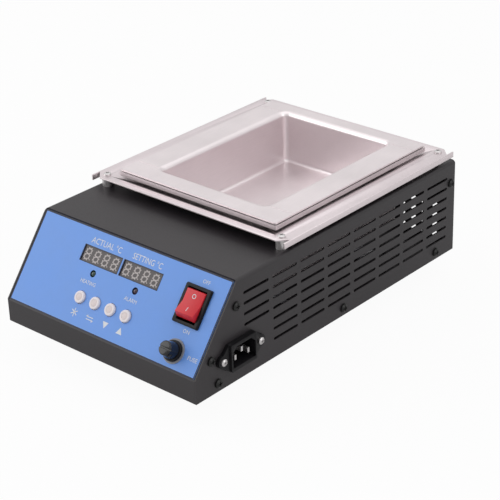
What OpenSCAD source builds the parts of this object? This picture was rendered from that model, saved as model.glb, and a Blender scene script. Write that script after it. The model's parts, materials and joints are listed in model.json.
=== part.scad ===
// Bench solder pot: a low sheet-steel casing with a sloped control panel, and a stainless
// pot hung in a drip tray above it. Millimetres. Front is -Y, right is +X, the feet stand on Z = 0.

/* [Casing] */
// Width of the casing across its two sides
case_w = 198; // [170:1:230]
// Length of the casing from front to rear
case_l = 313; // [300:1:345]
// Height of the casing without its feet
case_h = 80; // [72:1:96]
// Thickness of the painted sheet steel
sheet = 1.2; // [0.8:0.1:1.6]
// Height of the upright strip under the sloped panel
front_h = 19.2; // [14:0.2:24]
// How far the top edge of the sloped panel lies behind the front
slope_run = 46.9; // [36:0.5:56]
// Outside radius of the two long top bends
bend_r = 3; // [2:0.5:5]

/* [Feet] */
// Height of the rubber feet
foot_h = 20.5; // [10:0.5:24]
// Diameter of the rubber feet
foot_d = 20; // [16:1:26]
// Distance from the casing's edges to the middle of a foot
foot_inset = 39; // [30:1:44]

/* [Vents] */
// Length of one slot, end to end
slot_l = 27.5; // [20:0.5:29]
// Height of one slot
slot_h = 2.3; // [1.6:0.1:3.2]
// Distance between slot columns along the side
slot_pitch = 31.7; // [31:0.1:36]
// Distance between slot rows
row_pitch = 8.6; // [7:0.1:10]
// Diameter of the air holes in the rear wall
rear_hole_d = 6.4; // [4:0.2:6.8]
// Distance between the rear wall's columns of holes
rear_pitch = 10.8; // [9:0.1:12]

/* [Control panel] */
// Width of one display window
display_w = 39.6; // [34:0.2:40.4]
// Height of one display window
display_h = 12.6; // [9:0.2:14]
// Diameter of the four push buttons
button_d = 9.6; // [8:0.2:12]
// Distance between neighbouring push buttons
button_pitch = 16; // [15:0.5:17]
// How far a push button stands out of the panel
button_out = 1.8; // [1.6:0.2:4]
// Diameter of the two indicator lamps
lamp_d = 5; // [3:0.5:6]
// Width of the power switch's black bezel
switch_w = 25; // [23:0.5:26]
// Length of the power switch's black bezel
switch_l = 30; // [28:0.5:31]
// Tilt of the rocker either way from level
rocker_tilt = 12; // [8:1:13]
// How far the fuse cap stands out of the panel
fuse_out = 12; // [9:0.5:14]
// Diameter of the fuse cap
fuse_cap_d = 11; // [10:0.5:12]

/* [Mains inlet] */
// Distance between the inlet's two fixing screws
inlet_pitch = 40; // [40:0.5:41]
// How far the inlet's shroud stands out of the side
inlet_out = 5; // [4:0.5:7]

/* [Pot] */
// Width of the pot between its inner walls
pot_w = 110; // [90:1:116]
// Length of the pot between its inner walls
pot_l = 152; // [130:1:156]
// Depth of the pot below its flange
pot_depth = 45; // [36:1:48]
// Thickness of the stainless pot
pot_t = 1.2; // [1:0.1:1.5]
// Radius of the pot's upright corners
pot_corner_r = 5; // [4:0.5:10]
// Radius between the pot's walls and floor
pot_floor_r = 3; // [2:0.5:3.5]
// Radius of the rolled lip round the mouth
lip_r = 4; // [3:0.5:5]
// Width of the pot's flange
flange_w = 161; // [154:0.5:162]
// Length of the pot's flange
flange_l = 184.5; // [180:0.5:186]
// Height of the flange above the casing's top
flange_up = 14.5; // [12:0.5:17]

/* [Drip tray] */
// Width of the drip tray
tray_w = 200; // [196:1:206]
// Length of the drip tray
tray_l = 211; // [208:1:216]
// Height of the tray's rim above the casing's top
tray_up = 9; // [8:0.5:10]
// Thickness of the tray's sheet
tray_t = 1; // [0.8:0.1:1.2]
// Size of the cut across each corner of the rim
tray_cut = 9; // [5:0.5:10]
// Diameter of the pillars under the tray
pillar_d = 9; // [7:0.5:10]

/* [Hidden] */
$fn = 0;
$fa = 6;
$fs = 0.4;
slope_rise = case_h - front_h;
slope_len = sqrt(slope_run * slope_run + slope_rise * slope_rise);
slope_a = atan2(slope_rise, slope_run);
top_z = foot_h + case_h;
front_y = -case_l / 2;
rear_y = case_l / 2;
film_t = 0.4;
side_x = case_w / 2;
fuse_x = side_x - 27.6;
fuse_s = 13.7;
screw_head_h = 2.2;
// the drawing is shifted so that the middle of its outline stands over the origin
nose_y = front_y + (fuse_s - fuse_cap_d / 2 + 0.8) * cos(slope_a) - fuse_out * sin(slope_a);
left_x = -max(side_x + screw_head_h, tray_w / 2);
shift_x = -(side_x + inlet_out + left_x) / 2;
shift_y = -(min(nose_y, front_y) + rear_y) / 2;
// vents
slot_y0 = front_y + slope_run + 6;
slot_cols = floor((case_l - slope_run - 10) / slot_pitch);
slot_z0 = top_z - 12.8;
slot_rows = floor((case_h - 24) / row_pitch) + 1;
short_rows = 4;
rear_rows = 4;
rear_cols = floor((case_w - 30) / rear_pitch) + 1;
rear_vent_z = 9.5;
// screws in the sides, from the front, as [y, z]
side_screws = [
  [front_y + slope_run - 2.2, top_z - 19.7],
  [front_y + 16.8, foot_h + front_h + 8.7],
  [front_y + 23.3, foot_h + 7],
  [front_y + 166.6, foot_h + 6.6],
  [rear_y - 25.2, foot_h + 6.6],
  [rear_y - 5.6, top_z - 18.4]
];
flange_band = 12;
slope_flange = 13;
rear_lip = 10;
// inlet
inlet_y = front_y + 46.7;
inlet_z = foot_h + 23.6;
inlet_face = side_x + inlet_out;
// panel items on the slope, as distances from the middle and up from the lower bend
shown_x = -26;
set_x = 15.6;
display_s = 55.2;
lamp_s = 42.6;
lamp_x = [-27.8, 16.5];
button_s = 22.9;
button_x0 = -30.3;
switch_x = side_x - 27.3;
switch_s = 48.4;
rocker_drop = 3;
pin_d = 3;
fuse_d = 5.2;
panel_back = film_t + sheet;
board_top = 7.4;
board_t = 1.6;
board_w = 122;
board_l = 58;
board_x = -9;
board_s = 40;
// tray and pot
tray_y = rear_y - 4.5 - tray_l / 2;
pot_y = rear_y - 107;
pot_dy = pot_y - tray_y;
tray_z = top_z + tray_up;
jacket_t = 1.2;
jacket_gap = lip_r - pot_t + 0.5;
jacket_r = 6;
jacket_w = pot_w + 2 * (pot_t + jacket_gap + jacket_t);
jacket_l = pot_l + 2 * (pot_t + jacket_gap + jacket_t);
well_w = jacket_w + 3;
well_l = jacket_l + 3;
well_z = top_z + 0.3 + tray_t;
side_rim = 14.4;
end_rim = 7;
flange_z = top_z + flange_up;
floor_z = flange_z - pot_depth;
gasket_t = 0.6;
collar_z = flange_z - pot_t - gasket_t;
jacket_z = foot_h + 26;
bracket_x = jacket_w / 2 - 12;
bracket_y = jacket_l / 2 - 32;
plate_z = floor_z - pot_t - 9;
pillar_x = tray_w / 2 - 9.6;
pillar_y = tray_l / 2 - 8;

// helpers

// puts a child drawn in casing coordinates over the shared origin
module place() {
  translate([shift_x, shift_y, 0])
    children();
}

// x across, y up the slope, z out of the panel; zero is the film's outer face
module on_slope() {
  place()
    translate([0, front_y, foot_h + front_h])
      rotate([slope_a, 0, 0])
        children();
}

// flat rectangle with true round corners, centred
module round_rect(w, l, r) {
  square([w - 2 * r, l], center = true);
  square([w, l - 2 * r], center = true);
  for (x = [-1, 1])
    for (y = [-1, 1])
      translate([x * (w / 2 - r), y * (l / 2 - r)])
        circle(r);
}

// a slot along y through a wall whose middle is at x
module slot_cut(x, y, z) {
  translate([x, y, z])
    rotate([90, 0, 90])
      linear_extrude(height = 3 * sheet, center = true) {
        translate([slot_h / 2, -slot_h / 2])
          square([slot_l - slot_h, slot_h]);
        translate([slot_h / 2, 0])
          circle(slot_h / 2);
        translate([slot_l - slot_h / 2, 0])
          circle(slot_h / 2);
      }
}

// a pan head screw along z, its head's seat at z = 0 and its head above
module pan_screw(shank_d, shank_l, head_d, head_h) {
  translate([0, 0, -shank_l])
    cylinder(d = shank_d, h = shank_l + 0.1);
  difference() {
    union() {
      cylinder(d = head_d, h = head_h * 0.55);
      translate([0, 0, head_h * 0.55])
        cylinder(d1 = head_d, d2 = head_d * 0.6, h = head_h * 0.45);
    }
    for (a = [0, 90])
      rotate([0, 0, a])
        translate([-head_d * 0.28, -head_d * 0.06, head_h * 0.45])
          cube([head_d * 0.56, head_d * 0.12, head_h]);
  }
}

// the side view of the casing as [y, z] points, drawn in by a distance from its outer faces
module side_view() {
  polygon([
    [front_y, foot_h],
    [front_y, foot_h + front_h],
    [front_y + slope_run, top_z],
    [rear_y, top_z],
    [rear_y, foot_h]
  ]);
}

// a point on the slope's section, s up the panel and h out of it
function sec(s, h) = [
  front_y + s * cos(slope_a) - h * sin(slope_a),
  foot_h + front_h + s * sin(slope_a) + h * cos(slope_a)
];
// where the line h out of the panel meets a height, and where it meets a distance y
function at_height(h, z) = sec((z - foot_h - front_h - h * cos(slope_a)) / sin(slope_a), h);
function at_front(h, y) = sec((y - front_y + h * sin(slope_a)) / cos(slope_a), h);

// lays a [y, z] drawing upright, t thick, from x
module upright(x, t) {
  translate([x, 0, 0])
    rotate([90, 0, 90])
      linear_extrude(height = t)
        children();
}

// casing

module vents(x, rows_kept) {
  for (c = [0 : slot_cols - 1])
    for (r = [0 : slot_rows - 1])
      if (c > 0 || r < rows_kept)
        slot_cut(x, slot_y0 + c * slot_pitch, slot_z0 - r * row_pitch);
}

module cover() {
  wide = case_w - 2 * sheet;
  inner_r = bend_r - min(sheet, bend_r - 0.5);
  color([0.2, 0.2, 0.21])
    place()
      difference() {
        intersection() {
          upright(-side_x, case_w)
            side_view();
          translate([0, rear_y, 0])
            rotate([90, 0, 0])
              linear_extrude(height = case_l)
                difference() {
                  union() {
                    translate([-side_x + bend_r, foot_h])
                      square([case_w - 2 * bend_r, case_h]);
                    translate([-side_x, foot_h])
                      square([case_w, case_h - bend_r]);
                    for (x = [-1, 1])
                      translate([x * (side_x - bend_r), top_z - bend_r])
                        circle(bend_r);
                  }
                  translate([-wide / 2 + inner_r, foot_h - 1])
                    square([wide - 2 * inner_r, case_h + 1 - sheet]);
                  translate([-wide / 2, foot_h - 1])
                    square([wide, case_h + 1 - sheet - inner_r]);
                  for (x = [-1, 1])
                    translate([x * (wide / 2 - inner_r), top_z - sheet - inner_r])
                      circle(inner_r);
                }
        }
        // the slope is open between the two sides
        upright(-wide / 2, wide)
          polygon([
            [front_y - 1, foot_h - 1],
            [front_y - 1, top_z + 1],
            [front_y + slope_run, top_z + 1],
            [front_y + slope_run, foot_h - 1]
          ]);
        translate([-well_w / 2, pot_y - well_l / 2, top_z - 2 * sheet])
          cube([well_w, well_l, 4 * sheet]);
        vents(side_x - sheet / 2, short_rows);
        vents(-side_x + sheet / 2, slot_rows);
        for (x = [-1, 1])
          for (p = side_screws)
            translate([x * side_x, p[0], p[1]])
              rotate([0, 90, 0])
                cylinder(d = 3.6, h = 4 * sheet, center = true);
        for (x = [-1, 1])
          for (y = [-1, 1])
            translate([x * pillar_x, tray_y + y * pillar_y, top_z - 2 * sheet])
              cylinder(d = 3.4, h = 4 * sheet);
        translate([side_x - 2 * sheet, inlet_y - 13.9, inlet_z - 10.4])
          cube([4 * sheet, 27.8, 20.8]);
        for (y = [-1, 1])
          translate([side_x, inlet_y + y * inlet_pitch / 2, inlet_z])
            rotate([0, 90, 0])
              cylinder(d = 3.4, h = 4 * sheet, center = true);
      }
}

module chassis() {
  half = side_x - sheet - 0.05;
  skin = -film_t;
  core = -film_t - sheet;
  top_in = top_z - sheet;
  rear_in = rear_y - 0.4;
  lip = 14;
  corner_r = bend_r - min(sheet, bend_r - 0.5) + 0.1;
  color([0.22, 0.22, 0.23])
    difference() {
      intersection() {
        place()
          translate([0, rear_y + 1, 0])
            rotate([90, 0, 0])
              linear_extrude(height = case_l + 2) {
                translate([-half, foot_h - 1])
                  square([2 * half, case_h + 1 - sheet - corner_r]);
                translate([-half + corner_r, foot_h - 1])
                  square([2 * (half - corner_r), case_h + 1 - sheet]);
                for (x = [-1, 1])
                  translate([x * (half - corner_r), top_in - corner_r])
                    circle(corner_r);
              }
        union() {
        place()
          upright(-half, 2 * half)
            polygon([
              [front_y, foot_h],
              at_front(skin, front_y),
              at_height(skin, top_in),
              [at_height(skin, top_in)[0] + lip, top_in],
              [at_height(skin, top_in)[0] + lip, top_in - sheet],
              at_height(core, top_in - sheet),
              at_front(core, front_y + sheet),
              [front_y + sheet, foot_h + sheet],
              [rear_in - sheet, foot_h + sheet],
              [rear_in - sheet, top_in - sheet],
              [rear_in - rear_lip, top_in - sheet],
              [rear_in - rear_lip, top_in],
              [rear_in, top_in],
              [rear_in, foot_h]
            ]);
        for (x = [-half, half - sheet])
          place()
            upright(x, sheet)
              polygon([
                [front_y + sheet / 2, foot_h + sheet / 2],
                at_front(core + sheet / 2, front_y + sheet / 2),
                at_height(core + sheet / 2, top_in - sheet / 2),
                [at_height(-slope_flange, top_in)[0], top_in - sheet / 2],
                at_height(-slope_flange, foot_h + flange_band),
                [rear_in - 12, foot_h + flange_band],
                [rear_in - 12, top_in - sheet / 2],
                [rear_in - sheet / 2, top_in - sheet / 2],
                [rear_in - sheet / 2, foot_h + sheet / 2]
              ]);
        }
      }
      // air holes in the rear wall
      for (c = [0 : rear_cols - 1])
        for (r = [0 : rear_rows - 1])
          place()
            translate([
              (c - (rear_cols - 1) / 2) * rear_pitch,
              rear_y - sheet,
              foot_h + rear_vent_z + r * row_pitch
            ])
              rotate([90, 0, 0])
                cylinder(d = rear_hole_d, h = 4 * sheet, center = true);
      on_slope() {
        for (x = [shown_x, set_x])
          translate([x, display_s, -panel_back - 1])
            linear_extrude(height = 3)
              square([display_w + 0.4, display_h + 0.4], center = true);
        for (x = lamp_x)
          translate([x, lamp_s, -panel_back - 1])
            cylinder(d = lamp_d + 0.6, h = 3);
        for (i = [0 : 3])
          translate([button_x0 + i * button_pitch, button_s, -panel_back - 1])
            cylinder(d = button_d + 0.8, h = 3);
        translate([switch_x, switch_s, -panel_back - 1])
          linear_extrude(height = 3)
            square([22, 28], center = true);
        translate([fuse_x, fuse_s, -panel_back - 1])
          cylinder(d = 12.6, h = 3);
      }
      for (x = [-1, 1])
        for (p = side_screws)
          place()
            translate([x * (side_x - sheet), p[0], p[1]])
              rotate([0, 90, 0])
                cylinder(d = 3.2, h = 4 * sheet, center = true);
      for (x = [-1, 1])
        for (y = [-1, 1])
          place()
            translate([
              x * (side_x - foot_inset), y * (rear_y - foot_inset), foot_h - 1
            ])
              cylinder(d = 4.4, h = sheet + 2);
    }
}

module front_film() {
  w = case_w - 4;
  color([0.44, 0.6, 0.9])
    on_slope()
      translate([0, 0, -film_t])
        linear_extrude(height = film_t)
          difference() {
            translate([-w / 2, 0.6])
              square([w, slope_len - 2]);
            for (x = [shown_x, set_x])
              translate([x, display_s])
                square([display_w, display_h], center = true);
            for (x = lamp_x)
              translate([x, lamp_s])
                circle(d = lamp_d + 0.6);
            for (i = [0 : 3])
              translate([button_x0 + i * button_pitch, button_s])
                circle(d = button_d + 0.8);
            translate([switch_x, switch_s])
              square([22, 28], center = true);
            translate([fuse_x, fuse_s])
              circle(d = 12.6);
          }
}

// control panel

module display_unit(x) {
  color([0.3, 0.27, 0.26])
    on_slope()
      translate([x, display_s, -board_top])
        linear_extrude(height = board_top - 0.8)
          square([display_w - 0.2, display_h - 0.2], center = true);
}

module display_actual() {
  display_unit(shown_x);
}

module display_set() {
  display_unit(set_x);
}

module lamp(x) {
  on_slope()
    translate([x, lamp_s, -board_top])
      rotate_extrude()
        union() {
          square([lamp_d / 2 + 0.4, 1.2]);
          square([lamp_d / 2, board_top - 2.2]);
          translate([0, board_top - 2.2])
            intersection() {
              circle(lamp_d / 2);
              square(lamp_d);
            }
        }
}

module lamp_heating() {
  color([0.1, 0.3, 0.22])
    lamp(lamp_x[0]);
}

module lamp_alarm() {
  color([0.25, 0.06, 0.14])
    lamp(lamp_x[1]);
}

// a push cap with a dished top, a flange behind the panel and a stem for its switch
module button(i) {
  r = button_d / 2;
  color([0.96, 0.93, 0.92])
    on_slope()
      translate([button_x0 + i * button_pitch, button_s, 0])
        rotate_extrude()
          union() {
            difference() {
              union() {
                translate([0, -panel_back])
                  square([r, button_out + panel_back - 0.8]);
                translate([0, button_out - 0.8])
                  square([r - 0.8, 0.8]);
                translate([r - 0.8, button_out - 0.8])
                  circle(0.8);
              }
              translate([-1, button_out - 0.35])
                square([r * 0.6 + 1, 1]);
            }
            translate([0, -panel_back - 1])
              square([r + 1, 1]);
            translate([0, -panel_back - 1.5])
              square([2, 1]);
          }
}

module button_store() {
  button(0);
}

module button_shift() {
  button(1);
}

module button_down() {
  button(2);
}

module button_up() {
  button(3);
}

module tact_switches() {
  color([0.12, 0.12, 0.12])
    on_slope()
      for (i = [0 : 3])
        translate([button_x0 + i * button_pitch, button_s, -board_top]) {
          translate([-3, -3, 0])
            cube([6, 6, 2.4]);
          cylinder(d = 3.4, h = 3.2);
        }
}

module control_board() {
  color([0.08, 0.3, 0.16])
    on_slope()
      translate([0, 0, -board_top - board_t])
        linear_extrude(height = board_t)
          difference() {
            translate([board_x, board_s])
              square([board_w, board_l], center = true);
            for (x = [-1, 1])
              for (y = [-1, 1])
                translate([board_x + x * (board_w / 2 - 4), board_s + y * (board_l / 2 - 4)])
                  circle(d = 3.2);
          }
}

module board_pillars() {
  color([0.75, 0.72, 0.6])
    on_slope()
      for (x = [-1, 1])
        for (y = [-1, 1])
          translate([
            board_x + x * (board_w / 2 - 4), board_s + y * (board_l / 2 - 4), -board_top
          ])
            difference() {
              cylinder(d = 5.5, h = board_top - panel_back);
              translate([0, 0, -1])
                cylinder(d = 2.7, h = 5);
            }
}

module board_screws() {
  color([0.7, 0.7, 0.72])
    on_slope()
      for (x = [-1, 1])
        for (y = [-1, 1])
          translate([
            board_x + x * (board_w / 2 - 4),
            board_s + y * (board_l / 2 - 4),
            -board_top - board_t
          ])
            rotate([180, 0, 0])
              pan_screw(2.5, 5, 5, 1.8);
}

module switch_housing() {
  color([0.07, 0.07, 0.08])
    on_slope()
      translate([switch_x, switch_s, 0])
        difference() {
          union() {
            linear_extrude(height = 1.2)
              round_rect(switch_w, switch_l, 1.2);
            translate([0, 0, 1.2])
              linear_extrude(height = 0.8)
                round_rect(switch_w - 1, switch_l - 1, 1);
            translate([-10.8, -13.8, -22])
              cube([21.6, 27.6, 22.5]);
          }
          translate([-9, -12.5, -13.5])
            cube([18, 25, 20]);
          translate([0, 0, -rocker_drop])
            rotate([0, 90, 0])
              cylinder(d = pin_d + 0.1, h = 19.6, center = true);
          for (y = [-1, 1])
            for (x = [-1, 1])
              translate([x * 5.5 - 0.5, y * 7 - 3.2, -24])
                cube([1, 6.4, 12]);
        }
}

module switch_terminals() {
  color([0.75, 0.6, 0.35])
    on_slope()
      for (y = [-1, 1])
        for (x = [-1, 1])
          translate([switch_x + x * 5.5 - 0.4, switch_s + y * 7 - 3.1, -31])
            cube([0.8, 6.2, 16]);
}

module rocker() {
  color([0.85, 0.16, 0.2]) {
    on_slope()
      translate([switch_x, switch_s, -rocker_drop])
        rotate([-rocker_tilt, 0, 0])
          translate([-8.6, 0, 0])
            rotate([90, 0, 90])
              linear_extrude(height = 17.2)
                union() {
                  polygon([
                    [-8.5, -4.5], [-11.4, 2.5], [-11.4, 3.5], [-9.5, 8.2], [0, 6.2],
                    [9.5, 8.2], [11.4, 3.5], [11.4, 2.5], [8.5, -4.5]
                  ]);
                  translate([-2.5, -10])
                    square([5, 6]);
                }
    on_slope()
      translate([switch_x, switch_s, -rocker_drop])
        rotate([0, 90, 0])
          cylinder(d = pin_d, h = 19.2, center = true);
  }
}

module fuse_holder() {
  color([0.08, 0.08, 0.09])
    on_slope()
      translate([fuse_x, fuse_s, 0])
        difference() {
          union() {
            translate([0, 0, 0.8])
              cylinder(d = 15.8, h = 2.2);
            translate([0, 0, -30])
              cylinder(d = 12, h = 31);
          }
          translate([0, 0, -27])
            cylinder(d = 8.6, h = 40);
        }
}

module fuse_washer() {
  color([0.62, 0.63, 0.68])
    on_slope()
      translate([fuse_x, fuse_s, 0])
        linear_extrude(height = 0.8)
          difference() {
            circle(d = 18.6);
            circle(d = 12.4);
          }
}

module fuse_nut() {
  color([0.1, 0.1, 0.1])
    on_slope()
      translate([fuse_x, fuse_s, -panel_back - 3])
        difference() {
          cylinder(d = 17, h = 3, $fn = 6);
          translate([0, 0, -1])
            cylinder(d = 12.2, h = 5);
        }
}

module fuse_cap() {
  color([0.06, 0.06, 0.07])
    on_slope()
      translate([fuse_x, fuse_s, 0])
        difference() {
          union() {
            translate([0, 0, 3.02])
              cylinder(d = fuse_cap_d, h = fuse_out - 3.82);
            translate([0, 0, 3.02])
              cylinder(d1 = fuse_cap_d + 2.6, d2 = fuse_cap_d, h = fuse_out * 0.5);
            translate([0, 0, fuse_out - 0.8])
              cylinder(d1 = fuse_cap_d, d2 = fuse_cap_d - 1.6, h = 0.8);
            translate([0, 0, -12])
              cylinder(d = 8.2, h = 16);
          }
          translate([-fuse_cap_d, -0.7, fuse_out - 1.6])
            cube([fuse_cap_d * 2, 1.4, 3]);
          translate([0, 0, -13])
            cylinder(d = fuse_d + 0.7, h = 6.1);
        }
}

module fuse_tube() {
  color([0.85, 0.9, 0.92, 0.5])
    on_slope()
      translate([fuse_x, fuse_s, -26.5])
        difference() {
          cylinder(d = fuse_d - 0.5, h = 19);
          translate([0, 0, -1])
            cylinder(d = fuse_d - 1.4, h = 21);
        }
}

module fuse_ends() {
  color([0.75, 0.75, 0.77])
    on_slope()
      for (a = [0, 180])
        translate([fuse_x, fuse_s, -17])
          rotate([a, 0, 0])
            translate([0, 0, -10])
              difference() {
                cylinder(d = fuse_d, h = 5);
                translate([0, 0, 0.5])
                  cylinder(d = fuse_d - 0.4, h = 5);
              }
}

// mains inlet

module inlet_plate() {
  p = inlet_pitch / 2;
  polygon([
    [-p, -5], [-13.7, -11], [13.7, -11], [p, -5], [p, 5], [13.7, 11], [-13.7, 11], [-p, 5]
  ]);
  for (x = [-p, p])
    translate([x, 0])
      circle(5);
}

module inlet_hole() {
  polygon([
    [-12.2, -8.2], [12.2, -8.2], [12.2, 4.2], [8, 8.4], [-8, 8.4], [-12.2, 4.2]
  ]);
}

// x along the casing's side, y up, z out of the side
module on_side() {
  place()
    translate([side_x, inlet_y, inlet_z])
      rotate([90, 0, 90])
        children();
}

module inlet_body() {
  color([0.05, 0.05, 0.05])
    on_side()
      difference() {
        union() {
          linear_extrude(height = inlet_out - 2)
            inlet_plate();
          linear_extrude(height = inlet_out)
            round_rect(27.4, 22, 1);
          translate([-13.6, -10.1, -16])
            cube([27.2, 20.2, 16.5]);
        }
        translate([0, 0, inlet_out - 16])
          linear_extrude(height = 30)
            inlet_hole();
        for (x = [-1, 1])
          translate([x * inlet_pitch / 2, 0, -1])
            cylinder(d = 3.4, h = 20);
        inlet_blades();
      }
}

module inlet_blades() {
  for (p = [[-7, -2], [7, -2], [0, 2]])
    translate([p[0] - 1, p[1] - 2, -28])
      cube([2, 4, inlet_out + 25.5]);
}

module inlet_pins() {
  color([0.85, 0.85, 0.83])
    on_side()
      inlet_blades();
}

module inlet_screws() {
  color([0.8, 0.8, 0.8])
    on_side()
      for (x = [-1, 1])
        translate([x * inlet_pitch / 2, 0, inlet_out - 2])
          pan_screw(3, 9, 5.6, 2);
}

module inlet_nuts() {
  color([0.7, 0.7, 0.72])
    on_side()
      for (x = [-1, 1])
        translate([x * inlet_pitch / 2, 0, -sheet - 2.4])
          difference() {
            cylinder(d = 6.2, h = 2.4, $fn = 6);
            translate([0, 0, -1])
              cylinder(d = 3.02, h = 5);
          }
}

// casing hardware

module side_screw_set(x) {
  color([0.06, 0.06, 0.06])
    place()
      for (p = side_screws)
        translate([x * side_x, p[0], p[1]])
          rotate([0, x * 90, 0])
            pan_screw(3, 7, 7, screw_head_h);
}

module side_screws_left() {
  side_screw_set(-1);
}

module side_screws_right() {
  side_screw_set(1);
}

module feet() {
  r = foot_d / 2;
  color([0.09, 0.09, 0.09])
    place()
      for (x = [-1, 1])
        for (y = [-1, 1])
          translate([x * (side_x - foot_inset), y * (rear_y - foot_inset), 0])
            rotate_extrude()
              difference() {
                polygon([
                  [0, 0], [r * 0.8, 0], [r * 0.84, 0.8], [r, foot_h], [0, foot_h]
                ]);
                translate([-1, -1])
                  square([5.5, foot_h - 5]);
                translate([-1, foot_h - 8])
                  square([3.2, 10]);
              }
}

module foot_screws() {
  color([0.7, 0.7, 0.72])
    place()
      for (x = [-1, 1])
        for (y = [-1, 1])
          translate([
            x * (side_x - foot_inset), y * (rear_y - foot_inset), foot_h - 6
          ])
            rotate([180, 0, 0])
              pan_screw(4, 12, 7.6, 2.6);
}

module foot_nuts() {
  color([0.7, 0.7, 0.72])
    place()
      for (x = [-1, 1])
        for (y = [-1, 1])
          translate([
            x * (side_x - foot_inset), y * (rear_y - foot_inset), foot_h + sheet
          ])
            difference() {
              cylinder(d = 8, h = 3.2, $fn = 6);
              translate([0, 0, -1])
                cylinder(d = 4.02, h = 6);
            }
}

// drip tray

// a funnel from the rim's inner edge down to the well, let out by t all round
module tray_funnel(t) {
  rim_x = tray_w / 2 - side_rim;
  rim_f = -tray_l / 2 + end_rim;
  rim_b = tray_l / 2 - end_rim;
  low_f = -well_l / 2 + pot_dy;
  low_b = well_l / 2 + pot_dy;
  drop = tray_z - well_z;
  intersection() {
    rotate([90, 0, 0])
      linear_extrude(height = 2 * tray_l, center = true)
        polygon([
          [-rim_x, 0], [-rim_x, -t], [-well_w / 2, -drop - t],
          [well_w / 2, -drop - t], [rim_x, -t], [rim_x, 0]
        ]);
    rotate([90, 0, 90])
      linear_extrude(height = 2 * tray_w, center = true)
        polygon([
          [rim_f, 0], [rim_f, -t], [low_f, -drop - t],
          [low_b, -drop - t], [rim_b, -t], [rim_b, 0]
        ]);
  }
}

module drip_tray() {
  w = tray_w / 2;
  l = tray_l / 2;
  c = tray_cut;
  color([0.8, 0.76, 0.77])
    place()
      translate([0, tray_y, tray_z])
        difference() {
          union() {
            translate([0, 0, -tray_t])
              linear_extrude(height = tray_t)
                polygon([
                  [-w, -l + c], [-w + c, -l], [w - c, -l], [w, -l + c],
                  [w, l - c], [w - c, l], [-w + c, l], [-w, l - c]
                ]);
            for (x = [-w, w - tray_t])
              translate([x, -l, -4.5])
                cube([tray_t, tray_l, 4.5]);
            tray_funnel(tray_t);
          }
          translate([0, 0, 0.01])
            tray_funnel(0);
          translate([-well_w / 2, -well_l / 2 + pot_dy, -20])
            cube([well_w, well_l, 19]);
          for (x = [-1, 1])
            for (y = [-1, 1])
              translate([x * pillar_x, y * pillar_y, -5])
                cylinder(d = 3.4, h = 10);
        }
}

module tray_pillars() {
  color([0.82, 0.82, 0.84])
    place()
      for (x = [-1, 1])
        for (y = [-1, 1])
          translate([x * pillar_x, tray_y + y * pillar_y, top_z])
            difference() {
              cylinder(d = pillar_d, h = tray_up - tray_t);
              translate([0, 0, -1])
                cylinder(d = 3.2, h = 20);
            }
}

module tray_screws() {
  color([0.85, 0.84, 0.84])
    place()
      for (x = [-1, 1])
        for (y = [-1, 1])
          translate([x * pillar_x, tray_y + y * pillar_y, tray_z])
            pan_screw(3, tray_up + 4, 6, 1.6);
}

// pot and heater

module pot_inside(top) {
  low = floor_z + pot_floor_r;
  r = pot_corner_r;
  f = pot_floor_r;
  translate([0, 0, low])
    linear_extrude(height = top - low)
      round_rect(pot_w, pot_l, r);
  translate([0, 0, floor_z])
    linear_extrude(height = f + 0.1)
      round_rect(pot_w - 2 * f, pot_l - 2 * f, r - f);
  for (x = [-1, 1])
    translate([x * (pot_w / 2 - f), 0, low])
      rotate([90, 0, 0])
        cylinder(r = f, h = pot_l - 2 * r, center = true);
  for (y = [-1, 1])
    translate([0, y * (pot_l / 2 - f), low])
      rotate([0, 90, 0])
        cylinder(r = f, h = pot_w - 2 * r, center = true);
  for (x = [-1, 1])
    for (y = [-1, 1])
      translate([x * (pot_w / 2 - r), y * (pot_l / 2 - r), low])
        rotate_extrude()
          union() {
            translate([0, -f])
              square([r - f, 2 * f]);
            translate([r - f, 0])
              intersection() {
                circle(f);
                translate([0, -f])
                  square(2 * f);
              }
          }
}

// what is cut away to leave the rolled lip
module lip_profile(u) {
  translate([u, 0])
    difference() {
      translate([-0.5, 0])
        square([lip_r + 0.5, lip_r + 1]);
      translate([lip_r, 0])
        circle(lip_r);
    }
}

module lip_cut() {
  r = pot_corner_r;
  translate([0, 0, flange_z - lip_r]) {
    for (a = [0, 180])
      rotate([0, 0, a])
        rotate([90, 0, 0])
          linear_extrude(height = pot_l - 2 * r, center = true)
            lip_profile(pot_w / 2);
    for (a = [90, 270])
      rotate([0, 0, a])
        rotate([90, 0, 0])
          linear_extrude(height = pot_w - 2 * r, center = true)
            lip_profile(pot_l / 2);
    for (x = [-1, 1])
      for (y = [-1, 1])
        translate([x * (pot_w / 2 - r), y * (pot_l / 2 - r), 0])
          rotate_extrude()
            lip_profile(r);
  }
}

module pot() {
  t = pot_t;
  color([0.84, 0.8, 0.81])
    place()
      translate([0, pot_y, 0])
        difference() {
          union() {
            translate([0, 0, floor_z - t])
              linear_extrude(height = pot_depth)
                round_rect(pot_w + 2 * t, pot_l + 2 * t, pot_corner_r + t);
            translate([0, -3, flange_z - t])
              linear_extrude(height = t)
                round_rect(flange_w, flange_l, 2);
            translate([0, 0, flange_z - lip_r - 0.5])
              linear_extrude(height = lip_r)
                round_rect(
                  pot_w + 2 * lip_r + 0.4, pot_l + 2 * lip_r + 0.4, pot_corner_r + lip_r
                );
          }
          pot_inside(flange_z + 2);
          lip_cut();
          // butt joints of the flange strips
          for (x = [-1, 1])
            for (y = [-1, 1])
              translate([
                x * (pot_w / 2 + lip_r + flange_w / 2) / 2,
                y * (pot_l / 2 - 1),
                flange_z
              ])
                cube([flange_w / 2 - pot_w / 2 - lip_r + 0.5, 0.4, 0.4], center = true);
        }
}

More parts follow.
